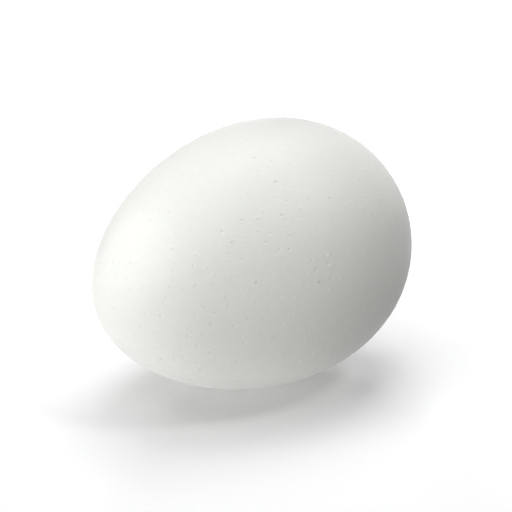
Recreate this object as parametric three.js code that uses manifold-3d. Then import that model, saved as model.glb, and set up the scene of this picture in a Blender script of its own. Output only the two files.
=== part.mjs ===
// A hen's egg lying on its side on a level surface.
//
// Millimetres, +Z up. The long axis runs along +X, which is the blunt end, and the XZ plane is
// the egg's plane of symmetry. The origin is the middle of the small flat spot that the egg
// rests on, straight below its centre of weight.

import * as THREE from 'three';
import { mergeVertices } from 'three/addons/utils/BufferGeometryUtils.js';
import Module from 'manifold-3d';

// Driving dimensions
const EGG_LENGTH = 57.0; // from the pointed pole to the blunt pole
const EGG_BREADTH = 44.2; // across the long axis, at the widest place
const TAPER = 0.13; // how much the blunt half gains in radius, and the pointed half loses
const FLAT_DEPTH = 0.15; // height missing from the shell at the flat spot

// Fineness of the faceted surface
const RINGS = 48; // bands of faces from pole to pole
const FACETS = 72; // faces round each band

// The shell's colour and finish
const SHELL_COLOUR = 0xecede7;
const SHELL_ROUGHNESS = 0.5;

// The outline is an ellipse whose radius is multiplied by 1 + TAPER * s, where s runs from -1 at
// the pointed pole to 1 at the blunt pole.
const HALF_LENGTH = EGG_LENGTH / 2;
const WIDEST = (Math.sqrt(1 + 8 * TAPER ** 2) - 1) / (4 * TAPER);
const GIRTH = EGG_BREADTH / 2 / (Math.sqrt(1 - WIDEST ** 2) * (1 + TAPER * WIDEST));

function radiusAt(s) {
  return GIRTH * Math.sqrt(Math.max(0, 1 - s ** 2)) * (1 + TAPER * s);
}

// Half the slope of the squared radius, which is the distance along the axis from a point of the
// outline to where its normal crosses the axis.
function subnormalAt(s) {
  return (GIRTH ** 2 / HALF_LENGTH) * (1 + TAPER * s) * (TAPER - s - 2 * TAPER * s ** 2);
}

// The egg comes to rest where the normal of its lowest point passes through its centre of
// weight. How far that normal crosses the axis beyond the centre of weight only grows with s, so
// the range that holds the answer is halved until nothing is left of it.
function findContact() {
  const centreOfWeight = (HALF_LENGTH * 2 * TAPER) / (5 + TAPER ** 2);
  let low = -0.5;
  let high = 0.5;
  for (let step = 0; step < 50; step += 1) {
    const middle = (low + high) / 2;
    if (HALF_LENGTH * middle + subnormalAt(middle) < centreOfWeight) {
      low = middle;
    } else {
      high = middle;
    }
  }
  return (low + high) / 2;
}

const CONTACT = findContact();
const CONTACT_X = HALF_LENGTH * CONTACT;
const CONTACT_RADIUS = radiusAt(CONTACT);
const TILT = Math.atan(subnormalAt(CONTACT) / CONTACT_RADIUS); // the blunt end is raised by this

// The whole egg, swept round its long axis, laid down with its lowest point at the origin, and
// lowered by the flat's depth.
function buildWholeEgg() {
  const outline = [];
  for (let ring = 0; ring <= RINGS; ring += 1) {
    const s = Math.sin(Math.PI * (ring / RINGS - 0.5));
    outline.push(new THREE.Vector2(radiusAt(s), HALF_LENGTH * s));
  }
  const egg = new THREE.LatheGeometry(outline, FACETS);
  egg.rotateZ(-Math.PI / 2);
  egg.translate(-CONTACT_X, 0, CONTACT_RADIUS);
  egg.rotateY(-TILT);
  egg.translate(0, 0, -FLAT_DEPTH);
  return egg;
}

// Everything below the surface that the egg rests on.
function buildGround() {
  const ground = new THREE.BoxGeometry(EGG_LENGTH, EGG_LENGTH, EGG_LENGTH);
  ground.translate(0, 0, -EGG_LENGTH / 2);
  return ground;
}

const wasm = await Module();
wasm.setup();

function toSolid(geometry) {
  geometry.deleteAttribute('normal');
  geometry.deleteAttribute('uv');
  const merged = mergeVertices(geometry);
  return new wasm.Manifold(
    new wasm.Mesh({
      numProp: 3,
      vertProperties: new Float32Array(merged.attributes.position.array),
      triVerts: new Uint32Array(merged.index.array),
    }),
  );
}

function toGeometry(solid) {
  const mesh = solid.getMesh();
  const geometry = new THREE.BufferGeometry();
  geometry.setAttribute('position', new THREE.BufferAttribute(mesh.vertProperties, 3));
  geometry.setIndex(new THREE.BufferAttribute(mesh.triVerts, 1));
  geometry.computeVertexNormals();
  return geometry;
}

// The egg is one closed solid: shell and contents aren't told apart.
const shellMaterial = new THREE.MeshStandardMaterial({
  color: SHELL_COLOUR,
  roughness: SHELL_ROUGHNESS,
  metalness: 0,
});

const egg = new THREE.Mesh(
  toGeometry(toSolid(buildWholeEgg()).subtract(toSolid(buildGround()))),
  shellMaterial,
);
egg.name = 'egg';

const part = new THREE.Group();
part.add(egg);

export default part;
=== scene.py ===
import math
import random

import bpy
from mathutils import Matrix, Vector, noise
from mathutils.kdtree import KDTree


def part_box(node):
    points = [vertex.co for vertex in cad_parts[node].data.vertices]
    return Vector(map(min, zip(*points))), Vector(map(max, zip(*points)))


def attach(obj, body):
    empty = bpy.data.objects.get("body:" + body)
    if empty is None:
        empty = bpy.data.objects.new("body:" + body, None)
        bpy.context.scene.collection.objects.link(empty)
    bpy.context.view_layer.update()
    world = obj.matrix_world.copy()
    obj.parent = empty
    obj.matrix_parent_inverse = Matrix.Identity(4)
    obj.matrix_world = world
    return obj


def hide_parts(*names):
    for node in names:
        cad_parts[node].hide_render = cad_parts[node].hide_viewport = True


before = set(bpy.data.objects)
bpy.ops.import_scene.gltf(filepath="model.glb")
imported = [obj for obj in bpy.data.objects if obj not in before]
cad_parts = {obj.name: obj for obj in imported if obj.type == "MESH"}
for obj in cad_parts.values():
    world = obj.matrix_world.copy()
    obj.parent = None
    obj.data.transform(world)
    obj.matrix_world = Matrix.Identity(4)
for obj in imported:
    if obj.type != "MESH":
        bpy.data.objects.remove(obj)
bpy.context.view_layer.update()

# The shell: a whole hen's egg, one closed skin of white calcite about a third of a millimetre
# thick. A fine ball is drawn out to the egg's length, tapered towards its pointed end, and made
# a little uneven, as no shell is laid down quite true.
EGG_LENGTH = 0.0570
EGG_TAPER = 0.13
SWELL_SPACING = 0.0060
SWELL_HEIGHT = 0.00004
RIPPLE_SPACING = 0.0015
RIPPLE_HEIGHT = 0.000005

node_low, node_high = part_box("egg")
egg_breadth = node_high[1] - node_low[1]
widest = (math.sqrt(1 + 8 * EGG_TAPER ** 2) - 1) / (4 * EGG_TAPER)
girth = egg_breadth / (math.sqrt(1 - widest ** 2) * (1 + EGG_TAPER * widest))

bpy.ops.object.select_all(action="DESELECT")
bpy.ops.mesh.primitive_ico_sphere_add(subdivisions=7, radius=EGG_LENGTH / 2)
egg = bpy.context.object
egg.name = "hens_egg"
egg.scale = (1, girth / EGG_LENGTH, girth / EGG_LENGTH)
bpy.ops.object.transform_apply(scale=True)

taper = egg.modifiers.new("taper", "SIMPLE_DEFORM")
taper.deform_method = "TAPER"
taper.deform_axis = "X"
taper.factor = 2 * EGG_TAPER
bpy.ops.object.modifier_apply(modifier="taper")


def make_uneven(name, spacing, height):
    """Raises and lowers the shell in soft lumps that lie so far apart and are so high."""
    pattern = bpy.data.textures.new(name, "CLOUDS")
    pattern.noise_scale = spacing
    lumps = egg.modifiers.new(name, "DISPLACE")
    lumps.texture = pattern
    lumps.strength = height
    bpy.ops.object.modifier_apply(modifier=name)


make_uneven("swell", SWELL_SPACING, SWELL_HEIGHT)
make_uneven("ripple", RIPPLE_SPACING, RIPPLE_HEIGHT)

# The pores and lime grains: the shell breathes through fine channels, whose mouths show as pits
# and pinholes, and grains of lime stand up between them. Each is a corner of the shell dissolved
# or bevelled to a small face, which is then inset and sunk or raised in steps; the pits are painted
# darker inside, partly as dirt and partly as painted shade. They lie in clusters.
WIDE_PORE = 0.00080
MIDDLE_PORE = 0.00058
FINE_PORE = 0.00044
PINHOLE = 0.00020
GRAIN = 0.00050
PORE_SPACING = 0.0013
PORE_REACH = 0.99  # of the way to either pole
WIDE_PORES = 62
MIDDLE_PORES = 125
FINE_PORES = 400
PINHOLES = 500
GRAINS = 320
CLUSTER_SIZE = 0.009
CLUSTER_EDGE = (-0.5, 0.3)
CLUSTER_SHIFT = Vector((46.5, 0.25, 0.75))
EGG_TILT = math.radians(8.2)
REST_HEIGHT = -0.0210  # from the egg's middle, with no pores below it
# Each step says how far in and how far up it goes, in widths, and how dark it is painted, with dirt and
# painted shade that deepen into the pit.
LIPPED_PIT = ((0.06, 0.015, 0.0), (0.15, -0.055, 0.15), (0.05, -0.02, 0.55))
PLAIN_PIT = ((0.20, -0.075, 0.15), (0.08, -0.03, 0.55))
GRAIN_STEPS = ((0.20, 0.08, 0.0), (0.12, 0.02, 0.0))


def shell_point(along, turn):
    """The point of the shell so far along the egg from its middle and turned so far from its top."""
    s = along / (EGG_LENGTH / 2)
    radius = girth / 2 * math.sqrt(1 - s ** 2) * (1 + EGG_TAPER * s)
    return Vector((along, radius * math.sin(turn), radius * math.cos(turn)))


def in_cluster(point):
    """Whether a point falls where pores gather, which happens less and less away from a cluster."""
    return noise.noise(point / CLUSTER_SIZE + CLUSTER_SHIFT) > random.uniform(*CLUSTER_EDGE)


def scatter(count):
    """So many random points of the shell, in clusters, none close to another or where it rests."""
    found = []
    while len(found) < count:
        turn = random.uniform(-math.pi, math.pi)
        point = shell_point(PORE_REACH * EGG_LENGTH / 2 * random.uniform(-1, 1), turn)
        height = point.x * math.sin(EGG_TILT) + point.z * math.cos(EGG_TILT)
        clear = all((point - other).length > PORE_SPACING for other in taken + found)
        if clear and height > REST_HEIGHT and in_cluster(point):
            found.append(point)
    taken.extend(found)
    return found


def choose_corners(points):
    """Selects the shell's corner nearest to each point, ready to be worked on."""
    tree = KDTree(len(egg.data.vertices))
    for vertex in egg.data.vertices:
        tree.insert(vertex.co, vertex.index)
    tree.balance()
    bpy.ops.object.mode_set(mode="EDIT")
    bpy.ops.mesh.select_mode(type="VERT")
    bpy.ops.mesh.select_all(action="DESELECT")
    bpy.ops.object.mode_set(mode="OBJECT")
    for point in points:
        egg.data.vertices[tree.find(point)[1]].select = True
    bpy.ops.object.mode_set(mode="EDIT")


def work_faces(width, steps):
    """Takes the selected faces, which are so wide, inwards and up or down by steps, painting each step
    darker by its share of dirt and painted shade.
    """
    for inwards, upwards, shade in steps:
        bpy.ops.mesh.inset(thickness=width * inwards, depth=width * upwards, use_individual=True)
        # each step is painted darker by its share: dirt and painted shade in the pit
        bpy.ops.mesh.attribute_set(value_float=shade)
    bpy.ops.object.mode_set(mode="OBJECT")


random.seed(12)
egg.data.attributes.active = egg.data.attributes.new("pore_dirt_and_painted_shade", "FLOAT", "POINT")
taken = []
choose_corners(scatter(WIDE_PORES))
bpy.ops.mesh.dissolve_verts()
bpy.ops.mesh.select_mode(type="FACE")
bpy.ops.mesh.select_face_by_sides(number=3, type="GREATER")
work_faces(WIDE_PORE, LIPPED_PIT)
for points, width, steps in (
    (scatter(MIDDLE_PORES), MIDDLE_PORE, PLAIN_PIT),
    (scatter(FINE_PORES), FINE_PORE, PLAIN_PIT),
    (scatter(PINHOLES), PINHOLE, PLAIN_PIT),
    (scatter(GRAINS), GRAIN, GRAIN_STEPS),
):
    choose_corners(points)
    bpy.ops.mesh.bevel(offset=width / 2, affect="VERTICES")
    bpy.ops.mesh.select_mode(type="FACE")
    work_faces(width, steps)

# How the egg lies: on its side, with its blunt end a little raised, as its weight leaves it. It
# is turned and set in the place of the solid egg, and the small flat spot that it rests on is
# cut level.
FLAT_DEPTH = 0.00015
CUT_THRESHOLD = 1e-7

egg.rotation_euler.y = -EGG_TILT
bpy.ops.object.transform_apply(rotation=True)
lowest_x = min(vertex.co.x for vertex in egg.data.vertices)
lowest_z = min(vertex.co.z for vertex in egg.data.vertices)
egg.location = (node_low[0] - lowest_x, 0, node_low[2] - lowest_z - FLAT_DEPTH)
bpy.ops.object.transform_apply(location=True)
bpy.ops.object.mode_set(mode="EDIT")
bpy.ops.mesh.select_all(action="SELECT")
bpy.ops.mesh.bisect(
    plane_co=(0, 0, 0), plane_no=(0, 0, 1), clear_inner=True, use_fill=True, threshold=CUT_THRESHOLD
)
bpy.ops.object.mode_set(mode="OBJECT")
bpy.ops.object.shade_smooth()

# The shell's stuff: white calcite, washed and dry. Faint chalky clouds keep it from looking like
# plastic, the pits are painted darker, partly with a little dirt and partly with painted shade,
# fine lime grains give it a satin bloom instead of a shine, and a little light passes through the
# outermost layer.
MOTTLE_SIZE = 0.0009
GRAIN_SPACING = 0.0009  # the real grains are far finer, too fine to show
GRAIN_HEIGHT = 0.000045
LIGHT_DEPTH = 0.0008


def linear(colour):
    """An sRGB hex colour as linear red, green, blue and alpha."""
    parts = [int(colour[place:place + 2], 16) / 255 for place in (1, 3, 5)]
    return [p / 12.92 if p <= 0.04045 else ((p + 0.055) / 1.055) ** 2.4 for p in parts] + [1]


def add_node(tree, kind, links, values, output):
    """Adds a node, links its inputs, sets its other values, and gives the output asked for."""
    node = tree.nodes.new(kind)
    for name, source in links.items():
        tree.links.new(source, node.inputs[name])
    for name, value in values.items():
        node.inputs[name].default_value = value
    return node.outputs[output]


shell = bpy.data.materials.new("calcite_eggshell")
shell.use_nodes = True
tree = shell.node_tree
place = add_node(tree, "ShaderNodeTexCoord", {}, {}, "Object")
clouds = {"Scale": 1 / MOTTLE_SIZE, "Detail": 4.0, "Roughness": 0.65}
mottle = add_node(tree, "ShaderNodeTexNoise", {"Vector": place}, clouds, "Fac")
chalk = {"Color1": linear("#dbdcd7"), "Color2": linear("#e1e2dd")}
colour = add_node(tree, "ShaderNodeMixRGB", {"Fac": mottle}, chalk, "Color")
# The pits' darker colour: partly dirt, partly painted shade, deeper in the pit.
pores = tree.nodes.new("ShaderNodeAttribute")
pores.attribute_name = "pore_dirt_and_painted_shade"
dirt_and_painted_shade = {"Color2": linear("#cfcec7")}
colour = add_node(tree, "ShaderNodeMixRGB", {"Fac": pores.outputs["Fac"], "Color1": colour}, dirt_and_painted_shade, "Color")
lime = {"Scale": 1 / GRAIN_SPACING, "Detail": 3.0}
grains = add_node(tree, "ShaderNodeTexNoise", {"Vector": place}, lime, "Fac")
relief = add_node(tree, "ShaderNodeBump", {"Height": grains}, {"Distance": GRAIN_HEIGHT}, "Normal")
principled = tree.nodes["Principled BSDF"]
tree.links.new(colour, principled.inputs["Base Color"])
tree.links.new(relief, principled.inputs["Normal"])
principled.inputs["Roughness"].default_value = 0.50
principled.inputs["IOR"].default_value = 1.5
principled.inputs["Subsurface Weight"].default_value = 0.12
principled.inputs["Subsurface Radius"].default_value = (1.0, 0.9, 0.7)
principled.inputs["Subsurface Scale"].default_value = LIGHT_DEPTH
principled.inputs["Sheen Weight"].default_value = 0.20
principled.inputs["Sheen Roughness"].default_value = 0.22
egg.data.materials.append(shell)
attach(egg, "root")
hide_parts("egg")

# The studio floor: a round matt white board, lying level under the egg. It shows the shadows,
# but the light that it would throw up comes from the card below. It also glows, as painted light:
# faintly near the egg, which lightens its shadows, and more and more away from it, so that its
# edge is lost in the white backdrop.
FLOOR_RADIUS = 0.30
GLOW_START = 0.05
GLOW_END = 0.14
NEAR_GLOW = 0.07
FAR_GLOW = 0.6

bpy.ops.object.select_all(action="DESELECT")
bpy.ops.mesh.primitive_circle_add(vertices=128, radius=FLOOR_RADIUS, fill_type="NGON")
floor = bpy.context.object
floor.name = "white_board"
floor.visible_diffuse = False
floor.visible_shadow = False
board = bpy.data.materials.new("glowing_matt_board")
board.use_nodes = True
tree = board.node_tree
place = add_node(tree, "ShaderNodeTexCoord", {}, {}, "Object")
nearness = add_node(tree, "ShaderNodeTexGradient", {"Vector": place}, {}, "Fac")
nearness.node.gradient_type = "SPHERICAL"
rise = {"From Min": 1 - GLOW_START, "From Max": 1 - GLOW_END, "To Min": NEAR_GLOW, "To Max": FAR_GLOW}
# painted light: the board's own glow, faint near the egg where it lightens the shadows
glow = add_node(tree, "ShaderNodeMapRange", {"Value": nearness}, rise, "Result")
principled = tree.nodes["Principled BSDF"]
tree.links.new(glow, principled.inputs["Emission Strength"])
principled.inputs["Base Color"].default_value = linear("#f1f1f2")
principled.inputs["Roughness"].default_value = 0.9
principled.inputs["Specular IOR Level"].default_value = 0.1
principled.inputs["Emission Color"].default_value = linear("#ffffff")
floor.data.materials.append(board)

# The bounce card: a smaller round card of paper, faintly lit from behind, that lies just under the
# board, to the left of the egg. It lights the egg from below, and leaves its right side in shade.
CARD_GLOW = 0.35
CARD_RADIUS = 0.065
CARD_PLACE = (-0.011, 0.037, -0.0001)


def glowing_stuff(name, colour, strength):
    """A dull material of such a colour, which also glows white with such a strength."""
    stuff = bpy.data.materials.new(name)
    stuff.use_nodes = True
    principled = stuff.node_tree.nodes["Principled BSDF"]
    principled.inputs["Base Color"].default_value = linear(colour)
    principled.inputs["Roughness"].default_value = 1.0
    principled.inputs["Specular IOR Level"].default_value = 0.0
    principled.inputs["Emission Color"].default_value = linear("#ffffff")
    principled.inputs["Emission Strength"].default_value = strength
    return stuff


bpy.ops.object.select_all(action="DESELECT")
bpy.ops.mesh.primitive_circle_add(vertices=96, radius=CARD_RADIUS, fill_type="NGON", location=CARD_PLACE)
card = bpy.context.object
card.name = "bounce_card"
card.visible_camera = False
card.visible_glossy = False
card.visible_shadow = False
card.data.materials.append(glowing_stuff("backlit_paper", "#9b9b9b", CARD_GLOW))

# The light tent: a dome of white cloth round everything. It doesn't show, but the shell mirrors
# it a little, which gives the rims their pale bloom.
TENT_RADIUS = 2.0
TENT_GLOW = 0.32

bpy.ops.object.select_all(action="DESELECT")
bpy.ops.mesh.primitive_uv_sphere_add(segments=32, ring_count=16, radius=TENT_RADIUS)
tent = bpy.context.object
tent.name = "white_tent"
tent.visible_camera = False
tent.visible_diffuse = False
tent.visible_shadow = False
tent.data.materials.append(glowing_stuff("glowing_white_cloth", "#000000", TENT_GLOW))

# The camera: it looks down a little on the egg, whose blunt end points right and away from it.
CAMERA_AZIMUTH = math.radians(-39.5)
CAMERA_PITCH = math.radians(14.0)
CAMERA_DISTANCE = 0.1202
EGG_CENTRE = Vector((0, 0, 0.0218))
OFFSET_RIGHT = 0.00089
OFFSET_UP = 0.00039

right = Vector((math.cos(CAMERA_AZIMUTH), math.sin(CAMERA_AZIMUTH), 0))
ahead = Vector((-math.sin(CAMERA_AZIMUTH), math.cos(CAMERA_AZIMUTH), 0))
back = Vector((0, 0, math.sin(CAMERA_PITCH))) - ahead * math.cos(CAMERA_PITCH)
up = back.cross(right)
camera = bpy.data.objects.new("camera", bpy.data.cameras.new("camera"))
bpy.context.scene.collection.objects.link(camera)
camera.data.lens = 50
camera.data.clip_start = 0.005
camera.location = EGG_CENTRE + back * CAMERA_DISTANCE - right * OFFSET_RIGHT - up * OFFSET_UP
camera.rotation_euler = back.to_track_quat("Z", "Y").to_euler()
bpy.context.scene.camera = camera

# The studio lights: square softboxes a metre from the egg. Each bearing is counted clockwise from
# the way that the camera looks, and each height is an angle above the egg's centre, in degrees.
# The lowest ones stand just off the floor.
LIGHT_DISTANCE = 1.0
FLOOR_GAP = 0.001
SOFTBOXES = (
    # name, bearing, height, size, watts, and whether the shell and the board mirror it
    ("overhead_softbox", -130, 70, 0.75, 4.3, False),
    ("left_strip", -95, 0, 0.10, 4.5, False),
    ("left_softbox", -130, 0, 0.20, 2.3, False),
    ("key_softbox", -175, 0, 0.20, 5.2, False),
    ("back_softbox", -10, 20, 0.25, 2.6, False),
    ("right_canopy", 40, 10, 0.95, 3.3, True),
    ("right_spot", 110, 55, 0.20, 1.4, True),
    ("top_softbox", 20, 75, 0.55, 4.2, True),
)


def away_from(target, bearing, height):
    """The place a light's distance away from the target, at such a bearing and height."""
    level = right * math.sin(bearing) + ahead * math.cos(bearing)
    return target + LIGHT_DISTANCE * (level * math.cos(height) + Vector((0, 0, math.sin(height))))


def add_light(name, kind, watts, place, target, mirrored):
    """Adds a lamp of such a kind and power at the place, pointed at the target."""
    light = bpy.data.objects.new(name, bpy.data.lights.new(name, kind))
    bpy.context.scene.collection.objects.link(light)
    light.data.energy = watts
    light.location = place
    light.rotation_euler = (place - target).to_track_quat("Z", "Y").to_euler()
    light.visible_camera = False
    light.visible_glossy = mirrored
    return light


for name, bearing, height, size, watts, mirrored in SOFTBOXES:
    height = math.radians(height)
    place = away_from(EGG_CENTRE, math.radians(bearing), height)
    place.z = max(place.z, size / 2 * math.cos(height) + FLOOR_GAP)
    softbox = add_light(name, "AREA", watts, place, EGG_CENTRE, mirrored)
    softbox.data.shape = "SQUARE"
    softbox.data.size = size

# The left spot: a lamp with a long snoot, a metre away too. It throws a small pool of light with
# soft edges on the pointed half, and the shell doesn't mirror it.
SPOT_BEARING = math.radians(-140)
SPOT_HEIGHT = math.radians(25)
SPOT_BEAM = math.radians(1.0)
SPOT_WATTS = 4.0
SPOT_RADIUS = 0.001
SPOT_AIM = Vector((-0.0270, -0.0040, 0.0265))

place = away_from(SPOT_AIM, SPOT_BEARING, SPOT_HEIGHT)
spot = add_light("left_spot", "SPOT", SPOT_WATTS, place, SPOT_AIM, False)
spot.data.spot_size = SPOT_BEAM
spot.data.spot_blend = 1.0
spot.data.shadow_soft_size = SPOT_RADIUS

# The backdrop: plain white, far behind. It is only seen, and neither lights the egg nor is
# mirrored in it.
BACKDROP_STRENGTH = 1.1

world = bpy.data.worlds.new("white_backdrop")
bpy.context.scene.world = world
world.use_nodes = True
world.node_tree.nodes["Background"].inputs["Color"].default_value = linear("#ffffff")
world.node_tree.nodes["Background"].inputs["Strength"].default_value = BACKDROP_STRENGTH
world.cycles_visibility.diffuse = False
world.cycles_visibility.glossy = False
bpy.context.scene.view_settings.view_transform = "Standard"
